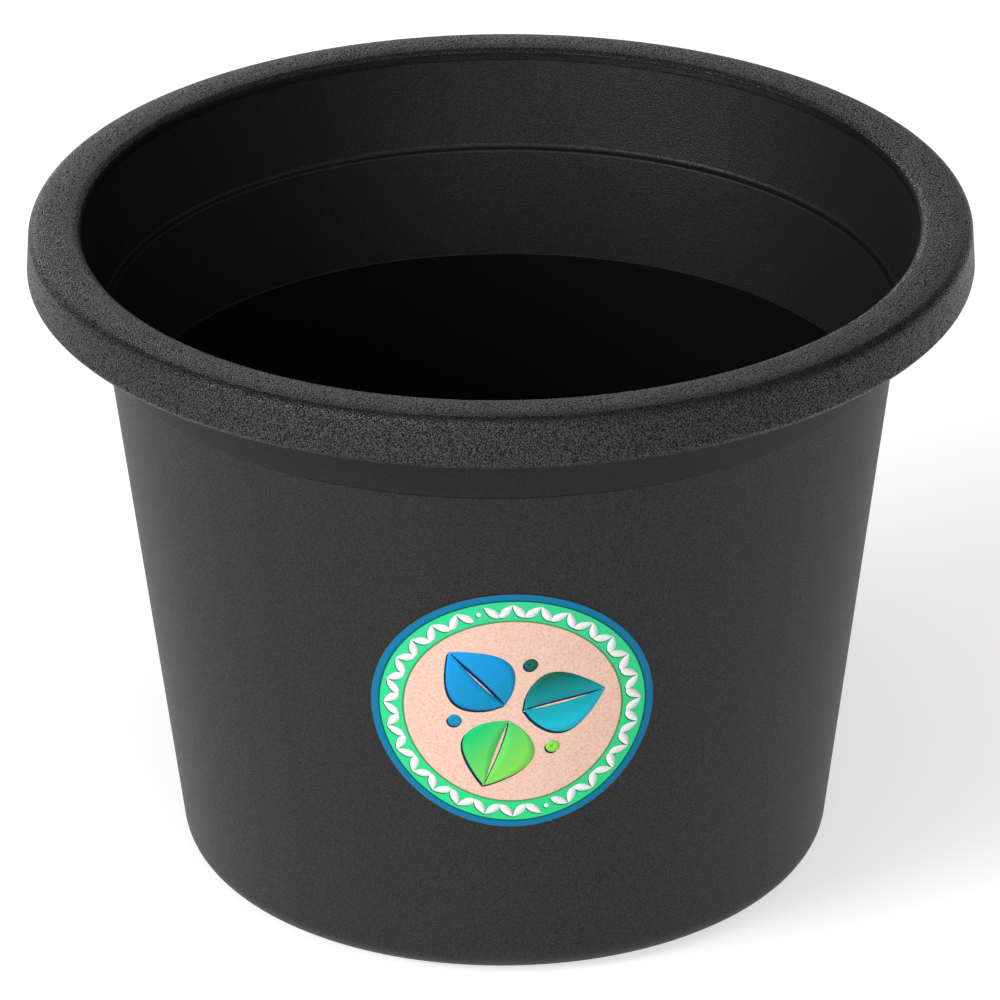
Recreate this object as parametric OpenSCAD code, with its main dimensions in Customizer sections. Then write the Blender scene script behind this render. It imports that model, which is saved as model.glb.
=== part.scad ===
// Florist bucket: a one-piece moulded tub with a wide down-turned rim, a shoulder
// below it, a recessed underside, and a round adhesive label on the front.
// Millimetres. Z is up, the foot stands on z = 0, the bucket's axis is the Z axis,
// and the label faces -Y.

/* [Body] */
// Height from the foot to the top of the rim
bucket_h = 188.2; // [180:0.2:230]
// Diameter of the foot, where the wall's slope would meet the ground
base_d = 180; // [160:1:184]
// Slope of the wall, outwards from the vertical, in degrees
draft = 7; // [5:0.1:7.4]
// Thickness of the wall
wall_t = 1.5; // [1.2:0.1:2]
// Radius of the corner between the wall and the foot
foot_corner = 8.5; // [4:0.5:9]

/* [Rim] */
// Outer diameter of the rim, at the bottom of its skirt
rim_d = 260.2; // [258:0.2:280]
// Height of the rim's outer skirt
rim_drop = 14.5; // [10:0.1:16]
// How far the skirt leans out towards its bottom
rim_flare = 0.8; // [0:0.1:1.6]
// Thickness of the rim and its skirt
rim_t = 2.6; // [2.4:0.1:3]
// Radius of the rim's outer top corner
rim_corner = 2.8; // [1:0.1:3]
// Radius of the rim's inner top corner
mouth_corner = 3.2; // [1:0.1:3.5]
// How far the rim's top falls towards its two edges
rim_crown = 0.35; // [0.1:0.05:0.4]
// Size of the chamfer at the bottom of the skirt
skirt_chamfer = 1.6; // [1:0.1:1.7]

/* [Shoulder] */
// Height of the step under the shoulder
step_z = 155.9; // [150:0.1:159]
// How far the shoulder stands out past the wall
shoulder_out = 1.9; // [1.7:0.1:3]
// Slope of the shoulder's wall, outwards from the vertical, in degrees
shoulder_draft = 9.8; // [8:0.1:11]

/* [Inside] */
// Thickness of the floor
floor_t = 2; // [1.5:0.1:3]
// Radius of the corner between the floor and the wall
floor_corner = 7; // [3:0.5:8]
// Height above the outer step at which the inner ledge begins
ledge_rise = 3.8; // [2.5:0.1:4]
// Height of the slanted inner ledge
ledge_h = 0.8; // [0.4:0.1:1.5]
// Height of the line where the grained wall ends and the polished wall begins
polish_z = 129; // [100:0.1:140]
// How far the polished wall stands in from the grained wall
polish_step = 0.3; // [0.2:0.05:0.5]

/* [Underside] */
// Depth of the recess inside the foot ring
recess_depth = 2; // [1:0.1:3]
// Width of the foot ring, with the corner of the wall
foot_ring_w = 15; // [13:0.5:20]
// Diameter of the moulding gate's mark
gate_d = 7; // [4:0.5:10]
// Height of the moulding gate's mark
gate_h = 0.8; // [0.4:0.1:0.9]

/* [Label] */
// Diameter of the label, measured straight across
label_d = 75.8; // [60:0.1:90]
// Height of the label's centre
label_z = 87.6; // [75:0.1:95]
// Thickness of the label
label_t = 0.2; // [0.15:0.05:0.3]

/* [Hidden] */
$fn = 180;

// Steps in each rounded corner of the wall's outline.
corner_steps = 6;

// Size of the chamfer under the shoulder.
step_chamfer = 0.9;

// Small corner radii of the moulding.
edge_r = 0.6;
step_root_r = 0.5;
step_edge_r = 0.4;
recess_corner_r = 1;
root_r = 1.5;
lip_r = 0.3;
chamfer_r = 1.8;
ledge_root_r = 1.2;

// How far the gate's mark runs up into the floor.
gate_root = 0.5;

// Width and rounding of the slopes beside the flat of the rim's top.
crown_w = 5;
crown_r = 30;

// Radius of the wall's outer face at a height.
function wall_r(z) = base_d / 2 + z * tan(draft);

// Radius of the shoulder's outer face at a height.
function shoulder_r(z) = wall_r(step_z) + shoulder_out + (z - step_z) * tan(shoulder_draft);

rim_r = rim_d / 2;
rim_top_r = rim_r - rim_flare;
rim_edge_z = bucket_h - rim_crown;
skirt_z = bucket_h - rim_drop;
rim_under_z = bucket_h - rim_t;
mouth_r = shoulder_r(bucket_h) - wall_t;
ledge_z = step_z + ledge_rise;
ledge_top_z = ledge_z + ledge_h;
step_edge_z = step_z + step_chamfer;
polish_r = wall_r(polish_z) - wall_t - polish_step;

// The floor is raised over the recess and dips to follow the foot ring.
floor_z = recess_depth + floor_t;
floor_r = wall_r(floor_t) - wall_t - polish_step;
recess_r = base_d / 2 - foot_ring_w;
ring_r = recess_r + recess_depth / 2;

// Section of the bucket, as [radius, height, corner radius], from the middle of the
// underside, up the outside, over the rim, down the inside and back along the floor.
SECTION = [
    [0, recess_depth, 0],
    [recess_r, recess_depth, recess_corner_r],
    [ring_r, 0, edge_r],
    [wall_r(0), 0, foot_corner],
    [wall_r(step_z), step_z, step_root_r],
    [shoulder_r(step_z) - step_chamfer, step_z, step_edge_r],
    [shoulder_r(step_edge_z), step_edge_z, step_edge_r],
    [shoulder_r(rim_under_z), rim_under_z, root_r],
    [rim_top_r - rim_t, rim_under_z, root_r],
    [rim_r - rim_t, skirt_z, lip_r],
    [rim_r - skirt_chamfer, skirt_z, edge_r],
    [rim_r, skirt_z + skirt_chamfer, chamfer_r],
    [rim_top_r, rim_edge_z, rim_corner],
    [rim_top_r - crown_w, bucket_h, crown_r],
    [mouth_r + crown_w, bucket_h, crown_r],
    [mouth_r, rim_edge_z, mouth_corner],
    [shoulder_r(ledge_top_z) - wall_t, ledge_top_z, ledge_root_r],
    [wall_r(ledge_z) - wall_t, ledge_z, edge_r],
    [polish_r + polish_step, polish_z, 0],
    [polish_r, polish_z - polish_step / 2, 0],
    [floor_r, floor_t, floor_corner],
    [recess_r, floor_t, recess_corner_r],
    [recess_r - recess_depth / 2, floor_z, recess_corner_r],
    [0, floor_z, 0]
];

function unit(v) = v / norm(v);
function angle_of(v) = atan2(v[1], v[0]);

// Smallest turn from angle a to angle b, between -180 and 180.
function turn(a, b) = (b - a + 540) % 360 - 180;

// Points of the rounded corner at b, between neighbours a and c.
function rounded(a, b, c, r) =
    let (
        to_a = unit(a - b),
        to_c = unit(c - b),
        half = acos(to_a * to_c) / 2,
        centre = b + unit(to_a + to_c) * r / sin(half),
        start = b + to_a * r / tan(half) - centre,
        end = b + to_c * r / tan(half) - centre,
        first = angle_of(start),
        sweep = turn(first, angle_of(end))
    )
    [for (i = [0:corner_steps])
        let (t = first + sweep * i / corner_steps)
        centre + r * [cos(t), sin(t)]];

function flat(p) = [p[0], p[1]];

// A section's points, with every corner that has a radius rounded.
function smooth(section) =
    let (n = len(section))
    [for (i = [0:n - 1])
        let (p = section[i])
        for (q = p[2] == 0 ? [flat(p)]
                : rounded(flat(section[i - 1]), flat(p), flat(section[i + 1]), p[2]))
            q];

module gate_mark() {
    translate([0, 0, recess_depth - gate_h])
        cylinder(d1 = gate_d - gate_h, d2 = gate_d, h = gate_h + gate_root);
}

module bucket() {
    color([0.12, 0.12, 0.125]) {
        rotate_extrude()
            polygon(smooth(SECTION));
        gate_mark();
    }
}

// Solid cone of the bucket's outer face, grown by a thickness.
module wall_cone(grow) {
    cylinder(r1 = wall_r(0) + grow, r2 = wall_r(step_z) + grow, h = step_z);
}

module label() {
    color([0.13, 0.66, 0.45])
        intersection() {
            difference() {
                wall_cone(label_t);
                wall_cone(0);
            }
            translate([0, -wall_r(label_z), label_z])
                rotate([90 + draft, 0, 0])
                    cylinder(d = label_d, h = base_d / 2, center = true);
        }
}

bucket();
label();
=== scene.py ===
"""Florist bucket: a black moulded bucket with a wide down-turned rim and a round printed label.

Everything is in metres, in the CAD model's own frame: +Z up, the foot on z = 0, the label facing -Y.
"""

from math import acos, atan2, cos, pi, radians, sin, sqrt, tan

import bpy
from mathutils import Matrix, Vector


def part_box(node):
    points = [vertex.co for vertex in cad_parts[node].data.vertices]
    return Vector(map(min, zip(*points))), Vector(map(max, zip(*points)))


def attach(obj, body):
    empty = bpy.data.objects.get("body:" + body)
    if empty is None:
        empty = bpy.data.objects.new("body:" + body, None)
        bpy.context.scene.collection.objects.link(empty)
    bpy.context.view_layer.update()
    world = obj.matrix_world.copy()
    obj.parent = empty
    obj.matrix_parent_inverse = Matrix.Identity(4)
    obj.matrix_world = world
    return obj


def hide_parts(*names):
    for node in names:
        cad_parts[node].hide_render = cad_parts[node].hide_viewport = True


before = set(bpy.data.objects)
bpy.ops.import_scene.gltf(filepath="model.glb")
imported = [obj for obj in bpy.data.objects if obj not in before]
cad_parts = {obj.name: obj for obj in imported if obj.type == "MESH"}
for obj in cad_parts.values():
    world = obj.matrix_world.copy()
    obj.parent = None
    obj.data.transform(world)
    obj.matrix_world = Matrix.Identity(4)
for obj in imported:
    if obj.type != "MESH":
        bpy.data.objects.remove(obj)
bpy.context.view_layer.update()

MM = 0.001

# ---------------------------------------------------------------- sizes

# The bucket's driving dimensions, as in the CAD model.
BUCKET_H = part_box("bucket")[1][2]
RIM_R = 130.1 * MM
BASE_R = 90 * MM
DRAFT = radians(7)
WALL_T = 1.5 * MM
RIM_T = 2.6 * MM
RIM_DROP = 14.5 * MM
RIM_FLARE = 0.8 * MM
SKIRT_CHAMFER = 1.6 * MM
RIM_CROWN = 0.35 * MM
CROWN_W = 5 * MM
STEP_Z = 155.9 * MM
STEP_CHAMFER = 0.9 * MM
SHOULDER_OUT = 1.9 * MM
SHOULDER_DRAFT = radians(9.8)
LEDGE_RISE = 3.8 * MM
LEDGE_H = 0.8 * MM
FLOOR_T = 2 * MM
POLISH_Z = 129 * MM
POLISH_STEP = 0.3 * MM
RECESS_DEPTH = 2 * MM
FOOT_RING_W = 15 * MM
GATE_D = 7 * MM
GATE_H = 0.8 * MM

# Radii of the bucket's corners.
EDGE_R = 0.6 * MM
FOOT_CORNER_R = 8.5 * MM
STEP_ROOT_R = 0.5 * MM
STEP_EDGE_R = 0.4 * MM
ROOT_R = 1.5 * MM
LIP_R = 0.3 * MM
CHAMFER_R = 1.8 * MM
RIM_CORNER_R = 2.8 * MM
CROWN_R = 30 * MM
MOUTH_CORNER_R = 3.2 * MM
LEDGE_ROOT_R = 1.2 * MM
FLOOR_CORNER_R = 7 * MM
RECESS_CORNER_R = 1 * MM
GATE_CORNER_R = 0.3 * MM

# The mouth's round is a cut this far to each side of its corner, with both ends rounded, so that the
# rim's grain can stop half way and painted shade can take the inner half.
MOUTH_CUT = 1.45 * MM
# Depth below the rim's inner edge where the mouth's painted shade ends and the inside's grain begins.
LINER_DROP = 2.7 * MM

LABEL_R = 37.9 * MM
LABEL_Z = 87.6 * MM
LABEL_T = 0.2 * MM
INK_T = 0.03 * MM

# Steps around the bucket, around the label's sheet and in each rounded corner.
LATHE_STEPS = 480
SHEET_STEPS = 180
CORNER_STEPS = 8
# Edges that turn by more than this stay sharp.
SHARP_ANGLE = radians(50)


def wall_r(z):
    """Radius of the wall's outer face at a height."""
    return BASE_R + z * tan(DRAFT)


def shoulder_r(z):
    """Radius of the shoulder's outer face at a height."""
    return wall_r(STEP_Z) + SHOULDER_OUT + (z - STEP_Z) * tan(SHOULDER_DRAFT)


# ---------------------------------------------------------------- materials

def new_material(name, color, roughness, specular):
    """A new material, its node tree and its Principled shader, which has these constant values."""
    material = bpy.data.materials.new(name)
    material.use_nodes = True
    tree = material.node_tree
    shader = tree.nodes["Principled BSDF"]
    shader.inputs["Base Color"].default_value = (*color, 1)
    shader.inputs["Roughness"].default_value = roughness
    shader.inputs["Specular IOR Level"].default_value = specular
    return material, tree, shader


def noise(tree, scale, detail=2.0, roughness=0.5):
    """Noise over the piece's own coordinates, in 1/metre."""
    place = tree.nodes.new("ShaderNodeTexCoord")
    texture = tree.nodes.new("ShaderNodeTexNoise")
    texture.inputs["Scale"].default_value = scale
    texture.inputs["Detail"].default_value = detail
    texture.inputs["Roughness"].default_value = roughness
    tree.links.new(place.outputs["Object"], texture.inputs["Vector"])
    return texture.outputs["Fac"]


def bump(tree, height, depth):
    """The normal of a surface that a height texture raises, by this depth where the texture is 1."""
    node = tree.nodes.new("ShaderNodeBump")
    node.inputs["Strength"].default_value = 1
    node.inputs["Distance"].default_value = depth
    tree.links.new(height, node.inputs["Height"])
    return node.outputs["Normal"]


def ramp(tree, factor, stops):
    """Colours along a factor: stops are (position, (r, g, b))."""
    node = tree.nodes.new("ShaderNodeValToRGB")
    elements = node.color_ramp.elements
    while len(elements) < len(stops):
        elements.new(0.5)
    for element, (position, color) in zip(elements, stops):
        element.position = position
        element.color = (*color, 1)
    tree.links.new(factor, node.inputs["Fac"])
    return node.outputs["Color"]


def math_node(tree, operation, first, second=0.0):
    """The result of an operation on two values, each a socket or a number."""
    node = tree.nodes.new("ShaderNodeMath")
    node.operation = operation
    for socket, value in zip(node.inputs, (first, second)):
        if isinstance(value, (int, float)):
            socket.default_value = value
        else:
            tree.links.new(value, socket)
    return node.outputs["Value"]


def grey(value):
    """A neutral colour."""
    return (value, value, value)


# The moulded grain: its fineness in 1/metre, the noise's detail, and the noise values at which a pit
# ends and a peak begins.
GRAIN_SCALE = 2600
GRAIN_DETAIL = 0.5
PIT, PEAK = 0.40, 0.62

# Each finish of the black plastic: brightness, roughness, depth of the grain, and the specular level
# of its pits and of its peaks.
FINISHES = {
    "wall": (0.010, 0.5, 0.07 * MM, 0.16, 0.35),
    # shoulder: finer grain than the wall, and darker as painted shade under the rim.
    "shoulder": (0.008, 0.45, 0.03 * MM, 0.14, 0.22),
    # Darker still: painted shade under the shoulder's step and under the rim.
    "painted_shade": (0.004, 0.5, 0.03 * MM, 0.08, 0.12),
    "rim": (0.010, 0.35, 0.30 * MM, 0.0, 0.62),
    # mouth: darker, with a weaker highlight, as painted shade inside the mouth's round and on the ledge.
    "mouth": (0.005, 0.5, 0.06 * MM, 0.04, 0.16),
    "liner": (0.009, 0.45, 0.12 * MM, 0.15, 0.35),
    "polished": (0.004, 0.22, 0.005 * MM, 0.22, 0.26),
    "base": (0.010, 0.45, 0.03 * MM, 0.2, 0.3),
}


def moulded_plastic(finish):
    """Black polypropylene with one of its moulded finishes; some finishes are darkened as painted shade."""
    brightness, roughness, grain_depth, dull, bright = FINISHES[finish]
    material, tree, shader = new_material(
        "plastic_" + finish, grey(brightness), roughness, (dull + bright) / 2)
    grain = noise(tree, GRAIN_SCALE, GRAIN_DETAIL)
    specular = ramp(tree, grain, [(PIT, grey(dull)), (PEAK, grey(bright))])
    tree.links.new(specular, shader.inputs["Specular IOR Level"])
    tree.links.new(bump(tree, grain, grain_depth), shader.inputs["Normal"])
    return material


# ---------------------------------------------------------------- the bucket

def section():
    """The bucket's section: (radius, height, corner radius, finish of the stretch that follows)."""
    skirt_z = BUCKET_H - RIM_DROP
    under_z = BUCKET_H - RIM_T
    edge_z = BUCKET_H - RIM_CROWN
    top_r = RIM_R - RIM_FLARE
    mouth_r = shoulder_r(BUCKET_H) - WALL_T
    mouth_rise = MOUTH_CUT * RIM_CROWN / CROWN_W
    mouth_z = edge_z - MOUTH_CUT
    liner_z = edge_z - LINER_DROP
    step_edge_z = STEP_Z + STEP_CHAMFER
    ledge_z = STEP_Z + LEDGE_RISE
    ledge_top_z = ledge_z + LEDGE_H
    # A third of the way down the ledge, where the painted shade on the rest of it begins.
    shade_r = (2 * shoulder_r(ledge_top_z) + wall_r(ledge_z)) / 3 - WALL_T
    shade_z = (2 * ledge_top_z + ledge_z) / 3
    polish_r = wall_r(POLISH_Z) - WALL_T - POLISH_STEP
    floor_r = wall_r(FLOOR_T) - WALL_T - POLISH_STEP
    floor_z = RECESS_DEPTH + FLOOR_T
    recess_r = BASE_R - FOOT_RING_W
    gate_r = GATE_D / 2
    gate_z = RECESS_DEPTH - GATE_H
    return [
        (0, gate_z, 0, "base"),
        (gate_r - GATE_H / 2, gate_z, GATE_CORNER_R, "base"),
        (gate_r, RECESS_DEPTH, 0, "base"),
        (recess_r, RECESS_DEPTH, RECESS_CORNER_R, "base"),
        (recess_r + RECESS_DEPTH / 2, 0, EDGE_R, "base"),
        (wall_r(0), 0, FOOT_CORNER_R, "wall"),
        # Painted shade on the step's underside and its chamfer: a dark line under the shoulder's lip.
        (wall_r(STEP_Z), STEP_Z, STEP_ROOT_R, "painted_shade"),
        (shoulder_r(STEP_Z) - STEP_CHAMFER, STEP_Z, STEP_EDGE_R, "painted_shade"),
        # The shoulder's face: finer grain, and darker as painted shade under the rim.
        (shoulder_r(step_edge_z), step_edge_z, STEP_EDGE_R, "shoulder"),
        # Painted shade on the rim's underside and inside its skirt.
        (shoulder_r(under_z), under_z, ROOT_R, "painted_shade"),
        (top_r - RIM_T, under_z, ROOT_R, "painted_shade"),
        (RIM_R - RIM_T, skirt_z, LIP_R, "rim"),
        (RIM_R - SKIRT_CHAMFER, skirt_z, EDGE_R, "rim"),
        (RIM_R, skirt_z + SKIRT_CHAMFER, CHAMFER_R, "rim"),
        (top_r, edge_z, RIM_CORNER_R, "rim"),
        (top_r - CROWN_W, BUCKET_H, CROWN_R, "rim"),
        (mouth_r + CROWN_W, BUCKET_H, CROWN_R, "rim"),
        (mouth_r + MOUTH_CUT, edge_z + mouth_rise, MOUTH_CORNER_R, "rim"),
        # Painted shade from half way round the mouth down to the inside's grain.
        (shoulder_r(mouth_z) - WALL_T, mouth_z, MOUTH_CORNER_R, "mouth"),
        (shoulder_r(liner_z) - WALL_T, liner_z, 0, "liner"),
        (shoulder_r(ledge_top_z) - WALL_T, ledge_top_z, LEDGE_ROOT_R, "liner"),
        # Painted shade on the lower part of the ledge.
        (shade_r, shade_z, 0, "mouth"),
        (wall_r(ledge_z) - WALL_T, ledge_z, EDGE_R, "liner"),
        (polish_r + POLISH_STEP, POLISH_Z, 0, "liner"),
        (polish_r, POLISH_Z - POLISH_STEP / 2, 0, "polished"),
        (floor_r, FLOOR_T, FLOOR_CORNER_R, "polished"),
        (recess_r, FLOOR_T, RECESS_CORNER_R, "polished"),
        (recess_r - RECESS_DEPTH / 2, floor_z, RECESS_CORNER_R, "polished"),
        (0, floor_z, 0, "polished"),
    ]


def rounded_corner(before, corner, after, radius):
    """Points of the arc that rounds a corner between its two neighbours."""
    to_before = (before - corner).normalized()
    to_after = (after - corner).normalized()
    half = acos(max(-1, min(1, to_before.dot(to_after)))) / 2
    centre = corner + (to_before + to_after).normalized() * radius / sin(half)
    first = corner + to_before * radius / tan(half) - centre
    last = corner + to_after * radius / tan(half) - centre
    start = atan2(first.y, first.x)
    sweep = (atan2(last.y, last.x) - start + 3 * pi) % (2 * pi) - pi
    angles = [start + sweep * i / CORNER_STEPS for i in range(CORNER_STEPS + 1)]
    return [centre + Vector((cos(a), sin(a))) * radius for a in angles]


def smooth_section():
    """The section's points, each with the finish of the stretch that follows it."""
    corners = section()
    places = [Vector((r, z)) for r, z, _, _ in corners]
    points = []
    for i, (_, _, radius, finish) in enumerate(corners):
        if radius:
            arc = rounded_corner(places[i - 1], places[i], places[i + 1], radius)
        else:
            arc = [places[i]]
        points += [(p, finish) for p in arc]
    return points


def new_object(name, verts, faces, materials, face_slots, smooth=True):
    """A mesh object from its points, faces and materials, with the material's number for each face."""
    mesh = bpy.data.meshes.new(name)
    mesh.from_pydata(verts, [], faces)
    for material in materials:
        mesh.materials.append(material)
    for polygon, slot in zip(mesh.polygons, face_slots):
        polygon.material_index = slot
        polygon.use_smooth = smooth
    mesh.validate()
    piece = bpy.data.objects.new(name, mesh)
    bpy.context.collection.objects.link(piece)
    return piece


def without_repeats(face):
    """A face's corners, each named once, so that a quad that ends in a point becomes a triangle."""
    return [v for k, v in enumerate(face) if v not in face[:k]]


def bridge(lower, upper):
    """The faces between two closed rings of corners with the same number of steps."""
    steps = len(lower)
    following = [(i + 1) % steps for i in range(steps)]
    return [without_repeats([lower[i], lower[j], upper[j], upper[i]])
            for i, j in enumerate(following)]


def make_bucket():
    """The bucket's skin: its section turned about the Z axis."""
    plastics = [moulded_plastic(finish) for finish in FINISHES]
    finishes = list(FINISHES)
    points = smooth_section()
    turns = [2 * pi * i / LATHE_STEPS for i in range(LATHE_STEPS)]
    verts, faces, slots, rings = [], [], [], []
    for place, _ in points:
        if place.x == 0:
            rings.append([len(verts)] * LATHE_STEPS)
            verts.append((0, 0, place.y))
            continue
        rings.append([len(verts) + i for i in range(LATHE_STEPS)])
        verts += [(place.x * cos(a), place.x * sin(a), place.y) for a in turns]
    for low, high, (_, finish) in zip(rings, rings[1:], points):
        faces += bridge(low, high)
        slots += [finishes.index(finish)] * LATHE_STEPS
    piece = new_object("bucket_body", verts, faces, plastics, slots)
    piece.data.set_sharp_from_angle(angle=SHARP_ANGLE)
    return piece


# ---------------------------------------------------------------- the label

def on_label(u, v, height=0.0):
    """The wall's point straight behind (u, v), in label radii on the label's plane, raised off the wall."""
    across = u * LABEL_R
    up = v * LABEL_R
    reach = wall_r(LABEL_Z) + up * sin(DRAFT)
    lean = 1 - tan(DRAFT) ** 2
    # From the plane to the wall's cone, square to the plane; negative where the cone is behind it.
    back = (sqrt((reach / cos(DRAFT)) ** 2 - lean * across ** 2) - reach / cos(DRAFT)) / lean
    y = -wall_r(LABEL_Z) - up * sin(DRAFT) - back * cos(DRAFT)
    z = LABEL_Z + up * cos(DRAFT) - back * sin(DRAFT)
    turn = atan2(across, -y)
    out = Vector((sin(turn) * cos(DRAFT), -cos(turn) * cos(DRAFT), -sin(DRAFT)))
    return Vector((across, y, z)) + out * height


class Patches:
    """Thin closed solids on the label, gathered into one mesh."""

    def __init__(self):
        self.verts = []
        self.faces = []
        self.slots = []

    def solid(self, grid, low, high, slot):
        """One closed solid over a grid of (u, v) points, between two heights."""
        rows, columns = len(grid), len(grid[0])
        start = len(self.verts)
        below = start + rows * columns
        for height in (high, low):
            self.verts += [on_label(u, v, height) for row in grid for u, v in row]
        for r in range(rows - 1):
            for c in range(columns - 1):
                a = r * columns + c
                quad = [a, a + 1, a + columns + 1, a + columns]
                self.add([start + i for i in quad], slot)
                self.add([below + i for i in reversed(quad)], slot)
        edge = list(range(columns))
        edge += [r * columns + columns - 1 for r in range(1, rows)]
        edge += [(rows - 1) * columns + c for c in range(columns - 2, -1, -1)]
        edge += [r * columns for r in range(rows - 2, 0, -1)]
        for a, b in zip(edge, edge[1:] + edge[:1]):
            self.add([start + b, start + a, below + a, below + b], slot)

    def add(self, face, slot):
        """One face, in the material with this number."""
        self.faces.append(face)
        self.slots.append(slot)


def polar(radius, angle):
    """The (u, v) point at a radius and an angle."""
    return radius * cos(angle), radius * sin(angle)


# The sheet's bands of print from its centre outwards: a material, and the radii at which each of the
# band's rings of faces ends, in label radii.
SHEET_BANDS = [
    ("kraft", [0.06 * i for i in range(1, 13)] + [0.768]),
    ("olive_line", [0.783]),
    ("green_ring", [0.82, 0.86, 0.90, 0.938]),
    ("dark_line", [0.952]),
    ("blue_ring", [0.975, 0.994]),
    ("paper_edge", [1.0]),
]


def make_sheet(materials):
    """The paper sheet: rings of print around a kraft centre, closed at the edge and underneath."""
    names = list(materials)
    turns = [2 * pi * i / SHEET_STEPS for i in range(SHEET_STEPS)]
    verts = [on_label(0, 0, LABEL_T)]
    faces, slots = [], []

    def add_ring(radius, height):
        """Add a ring of points and return their numbers."""
        ring = [len(verts) + i for i in range(SHEET_STEPS)]
        verts.extend(on_label(*polar(radius, a), height) for a in turns)
        return ring

    inner = [0] * SHEET_STEPS
    for name, radii in SHEET_BANDS:
        for radius in radii:
            ring = add_ring(radius, LABEL_T)
            faces += bridge(ring, inner)
            slots += [names.index(name)] * SHEET_STEPS
            inner = ring
    lower = add_ring(1.0, 0)
    faces += bridge(lower, inner)
    faces.append(list(reversed(lower)))
    slots += [names.index("paper_edge")] * (SHEET_STEPS + 1)
    return new_object("label_sheet", verts, faces, materials.values(), slots)


# Every size of the print is in label radii, and every offset is (right, up).

# A leaf's outline: its first power moves the widest place towards the base and its second fills it out.
LEAF_SKEW = 0.8
LEAF_FULLNESS = 0.9
# Half the width of a leaf's blunt points, and half the gap along its midrib, as a share of the leaf's
# half width.
POINT = 1e-4
MIDRIB = 0.06

# A dot's steps around, and its rings as shares of its radius, of which the first leaves a tiny hole.
DOT_STEPS = 24
DOT_RINGS = (0.05, 0.5, 1.0)

# The wreath on the green ring: the places round it, how many from one dot to the next, and the angle
# of the first.
WREATH_PLACES = 56
WREATH_DOT_EVERY = 28
WREATH_START = radians(106)
# How far each wreath leaf leans, the radii of its base, its middle and its tip, and its steps.
WREATH_LEAN = radians(3.2)
WREATH_RADII = (0.808, 0.86, 0.912)
WREATH_HALF_W = 0.031
WREATH_STEPS = (8, 2)
WREATH_DOT_R = 0.018
WREATH_SHADE = (-0.006, -0.008)

# The three leaves in the middle, by ink and heading in degrees, and the dot beside each.
LEAVES = (("blue_leaf", 132), ("teal_leaf", 12), ("green_leaf", -108))
LEAF_RADII = (0.08, 0.67)
LEAF_HALF_W = 0.26
LEAF_STEPS = (20, 4)
LEAF_SHADE = (-0.014, -0.018)
DOT_TURN = radians(60)
DOT_PLACE = 0.42
DOT_R = 0.05
DOT_SHADE = (-0.010, -0.013)


def leaf(base, tip, half_width, steps, sides=(-1, 1)):
    """A grid of points over a pointed leaf, base to tip, between two sides: -1 is right, 1 is left."""
    rows, columns = steps
    base, tip = Vector(base), Vector(tip)
    along = tip - base
    side = Vector((-along.y, along.x)).normalized()
    low, high = sides
    grid = []
    for r in range(rows + 1):
        t = r / rows
        half = half_width * sin(pi * t ** LEAF_SKEW) ** LEAF_FULLNESS + POINT
        middle = base + along * t
        spread = [low + (high - low) * c / columns for c in range(columns + 1)]
        grid.append([tuple(middle + side * half * s) for s in spread])
    return grid


def disc(centre, radius):
    """A grid of points over a small round dot with a tiny hole in the middle."""
    turns = [2 * pi * i / DOT_STEPS for i in range(DOT_STEPS + 1)]
    reaches = [share * radius for share in DOT_RINGS]
    return [[(centre[0] + reach * cos(a), centre[1] + reach * sin(a)) for reach in reaches]
            for a in turns]


def moved(grid, offset):
    """The same grid, moved by an offset in (u, v)."""
    du, dv = offset
    return [[(u + du, v + dv) for u, v in row] for row in grid]


def make_print(materials):
    """The printed marks: a wreath of small white leaves on the green ring and three leaves inside."""
    names = list(materials)
    marks = Patches()
    shade_top = LABEL_T + INK_T
    ink_top = shade_top + INK_T

    def stamp(grid, ink, shade, offset):
        """Print a mark over its darker shade, which shows past it by an offset."""
        marks.solid(moved(grid, offset), LABEL_T, shade_top, names.index(shade))
        marks.solid(grid, shade_top, ink_top, names.index(ink))

    inner, middle, outer = WREATH_RADII
    for i in range(WREATH_PLACES):
        angle = WREATH_START - 2 * pi * i / WREATH_PLACES
        if i % WREATH_DOT_EVERY == 0:
            grid = disc(polar(middle, angle), WREATH_DOT_R)
        else:
            lean = WREATH_LEAN if i % 2 else -WREATH_LEAN
            base, tip = polar(inner, angle - lean), polar(outer, angle + lean)
            grid = leaf(base, tip, WREATH_HALF_W, WREATH_STEPS)
        stamp(grid, "white_ink", "deep_green", WREATH_SHADE)
    for ink, heading in LEAVES:
        angle = radians(heading)
        base, tip = [polar(radius, angle) for radius in LEAF_RADII]
        for sides in ((MIDRIB, 1), (-1, -MIDRIB)):
            stamp(leaf(base, tip, LEAF_HALF_W, LEAF_STEPS, sides), ink, "navy", LEAF_SHADE)
        stamp(disc(polar(DOT_PLACE, angle + DOT_TURN), DOT_R), ink, "navy", DOT_SHADE)
    return new_object("label_print", marks.verts, marks.faces, materials.values(), marks.slots)


# The studio's light makes print look brighter than its colour and adds a little gloss: the share of a
# colour as seen that the print itself has, and what gloss adds.
PRINT_SHARE = 0.78
PRINT_GLOSS = 0.015

# Specular levels of print and of bare kraft.
PRINT_SPECULAR = 0.12
KRAFT_SPECULAR = 0.2

# The uneven surface of print and of bare kraft: its fineness in 1/metre, the noise's detail and
# roughness, and its depth.
PRINT_TOOTH = (3000, 2, 0.5, 0.01 * MM)
KRAFT_TOOTH = (2200, 4, 0.7, 0.03 * MM)

# The mottle of flat print: its fineness in 1/metre, the share of the colour in its darkest patches, and
# the noise values between which it goes from those to the full colour.
MOTTLE_SCALE = 2500
MOTTLE_SHARE = 0.9
MOTTLE_DARK, MOTTLE_FULL = 0.35, 0.6

# The kraft's fibres: their fineness in 1/metre, and the noise's detail and roughness.
FIBRES = (1500, 4, 0.7)


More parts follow.
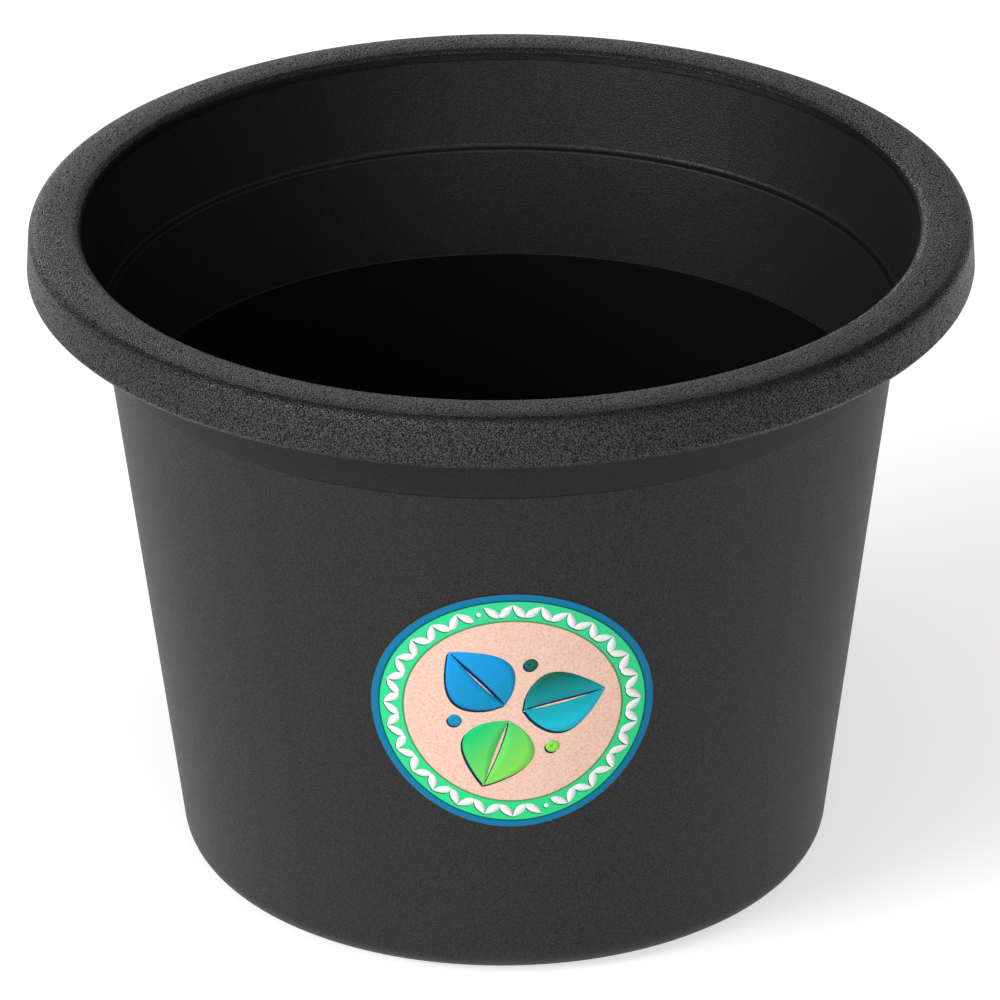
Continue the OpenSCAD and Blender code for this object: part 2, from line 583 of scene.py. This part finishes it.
def srgb(*values):
    """The print's linear colour, from the colour as seen, 0 to 255 in sRGB."""
    linear = [c / 12.92 if c <= 0.04045 else ((c + 0.055) / 1.055) ** 2.4
              for c in (v / 255 for v in values)]
    return tuple(max(0, c * PRINT_SHARE - PRINT_GLOSS) for c in linear)


def add_tooth(tree, shader, scale, detail, roughness, depth):
    """The paper's fine uneven surface."""
    height = noise(tree, scale, detail, roughness)
    tree.links.new(bump(tree, height, depth), shader.inputs["Normal"])


def flat_ink(name, color):
    """Print of one colour, with the paper's faint tooth and mottle."""
    material, tree, shader = new_material(name, color, roughness=0.5, specular=PRINT_SPECULAR)
    darker = tuple(c * MOTTLE_SHARE for c in color)
    mottle = ramp(tree, noise(tree, MOTTLE_SCALE), [(MOTTLE_DARK, darker), (MOTTLE_FULL, color)])
    tree.links.new(mottle, shader.inputs["Base Color"])
    add_tooth(tree, shader, *PRINT_TOOTH)
    return material


def gradient_ink(name, low, high, start, end):
    """Print that shades from one colour to another between two points of the label."""
    material, tree, shader = new_material(name, high, roughness=0.45, specular=PRINT_SPECULAR)
    first, last = on_label(*start), on_label(*end)
    along = last - first
    place = tree.nodes.new("ShaderNodeTexCoord")
    offset = tree.nodes.new("ShaderNodeVectorMath")
    offset.operation = "SUBTRACT"
    offset.inputs[1].default_value = first
    dot = tree.nodes.new("ShaderNodeVectorMath")
    dot.operation = "DOT_PRODUCT"
    dot.inputs[1].default_value = along / along.length_squared
    tree.links.new(place.outputs["Object"], offset.inputs[0])
    tree.links.new(offset.outputs["Vector"], dot.inputs[0])
    shade = ramp(tree, dot.outputs["Value"], [(0, low), (1, high)])
    tree.links.new(shade, shader.inputs["Base Color"])
    add_tooth(tree, shader, *PRINT_TOOTH)
    return material


def kraft_paper():
    """Uncoated kraft: a warm ground with fine pale and brown fibres."""
    ground = srgb(238, 198, 180)
    brown = srgb(214, 172, 152)
    pale = srgb(246, 212, 196)
    material, tree, shader = new_material("kraft", ground, roughness=0.8, specular=KRAFT_SPECULAR)
    fibres = ramp(tree, noise(tree, *FIBRES), [(0.3, brown), (0.5, ground), (0.7, pale)])
    tree.links.new(fibres, shader.inputs["Base Color"])
    add_tooth(tree, shader, *KRAFT_TOOTH)
    return material


def make_label_materials():
    """The label's materials, by name."""
    return {
        "kraft": kraft_paper(),
        "olive_line": flat_ink("olive_line", srgb(96, 150, 100)),
        "green_ring": gradient_ink(
            "green_ring", srgb(66, 214, 148), srgb(58, 216, 138), (0, 0.9), (0, -0.9)),
        "dark_line": flat_ink("dark_line", srgb(2, 100, 96)),
        "blue_ring": flat_ink("blue_ring", srgb(24, 125, 169)),
        "paper_edge": flat_ink("paper_edge", srgb(70, 110, 130)),
        "white_ink": flat_ink("white_ink", srgb(245, 245, 243)),
        "deep_green": flat_ink("deep_green", srgb(10, 120, 84)),
        "navy": flat_ink("navy", srgb(16, 52, 84)),
        "blue_leaf": gradient_ink(
            "blue_leaf", srgb(22, 140, 175), srgb(44, 158, 232), (-0.1, 0.0), (-0.4, 0.5)),
        "teal_leaf": gradient_ink(
            "teal_leaf", srgb(14, 105, 88), srgb(44, 190, 210), (0.3, 0.3), (0.4, -0.1)),
        "green_leaf": gradient_ink(
            "green_leaf", srgb(36, 200, 118), srgb(150, 226, 84), (-0.3, -0.2), (0.1, -0.6)),
    }


# ---------------------------------------------------------------- stage, light and camera

# The ground that the bucket stands on: half its width, its depth under the foot, its grey and its glow.
GROUND_HALF = 12
GROUND_DROP = 0.05 * MM
GROUND_GREY = 0.6
GROUND_GLOW = 0.6


def make_floor():
    """A wide pale floor just under the foot, glowing a little, so that shadows on it stay faint."""
    material, _, shader = new_material("floor", grey(GROUND_GREY), roughness=0.9, specular=0.1)
    shader.inputs["Emission Color"].default_value = (1, 1, 1, 1)
    shader.inputs["Emission Strength"].default_value = GROUND_GLOW
    signs = [(-1, -1), (1, -1), (1, 1), (-1, 1)]
    corners = [(x * GROUND_HALF, y * GROUND_HALF, -GROUND_DROP) for x, y in signs]
    floor = new_object("floor", corners, [(0, 1, 2, 3)], [material], [0], smooth=False)


# Soft studio lights as (azimuth, elevation, radiance); azimuth 0 is +X and 90 is +Y.
SOFT_LIGHTS = [
    (210, 30, 17.6),
    (285, 22, 2.8),
    (270, 22, 4.6),
    (240, 2, 7.3),
    (255, 80, 2.9),
    (105, 2, 5.8),
    (75, 2, 1.5),
    (0, 50, 1.4),
]
# How fast a light fades away from its middle.
LIGHT_SHARPNESS = 40


def make_world():
    """A dark studio with soft round lights, each fading out with its angle from the middle."""
    world = bpy.data.worlds.new("studio")
    world.use_nodes = True
    tree = world.node_tree
    place = tree.nodes.new("ShaderNodeTexCoord")
    total = 0.0
    for azimuth, elevation, radiance in SOFT_LIGHTS:
        around, above = radians(azimuth), radians(elevation)
        towards = tree.nodes.new("ShaderNodeVectorMath")
        towards.operation = "DOT_PRODUCT"
        heading = (cos(above) * cos(around), cos(above) * sin(around), sin(above))
        towards.inputs[1].default_value = heading
        tree.links.new(place.outputs["Generated"], towards.inputs[0])
        below = math_node(tree, "SUBTRACT", towards.outputs["Value"], 1)
        glow = math_node(tree, "EXPONENT", math_node(tree, "MULTIPLY", below, LIGHT_SHARPNESS))
        total = math_node(tree, "ADD", math_node(tree, "MULTIPLY", glow, radiance), total)
    background = tree.nodes["Background"]
    background.inputs["Color"].default_value = (1, 1, 1, 1)
    tree.links.new(total, background.inputs["Strength"])
    bpy.context.scene.world = world


def make_camera():
    """The camera: a long lens from above and a little to the left of the label."""
    distance = 2171 * MM
    elevation = radians(26.38)
    roll = radians(-0.42)
    azimuth = radians(-1.32)
    aim = Vector((-0.72 * MM, 0, 100.94 * MM))
    forward = Vector((0, cos(elevation), -sin(elevation)))
    level = Vector((1, 0, 0))
    upright = level.cross(forward)
    right = level * cos(roll) + upright * sin(roll)
    up = upright * cos(roll) - level * sin(roll)
    facing = Matrix((right, up, -forward)).transposed().to_4x4()
    data = bpy.data.cameras.new("camera")
    data.lens = 280.1
    data.sensor_width = 36
    camera = bpy.data.objects.new("camera", data)
    place = Matrix.Translation(aim - forward * distance) @ facing
    camera.matrix_world = Matrix.Rotation(azimuth, 4, "Z") @ place
    bpy.context.collection.objects.link(camera)
    bpy.context.scene.camera = camera


# ---------------------------------------------------------------- build

bucket = make_bucket()
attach(bucket, "root")
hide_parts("bucket")

label_materials = make_label_materials()
sheet = make_sheet(label_materials)
marks = make_print(label_materials)
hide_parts("label")
for piece in (sheet, marks):
    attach(piece, "root")

make_floor()
make_world()
make_camera()
bpy.context.scene.view_settings.view_transform = "Standard"
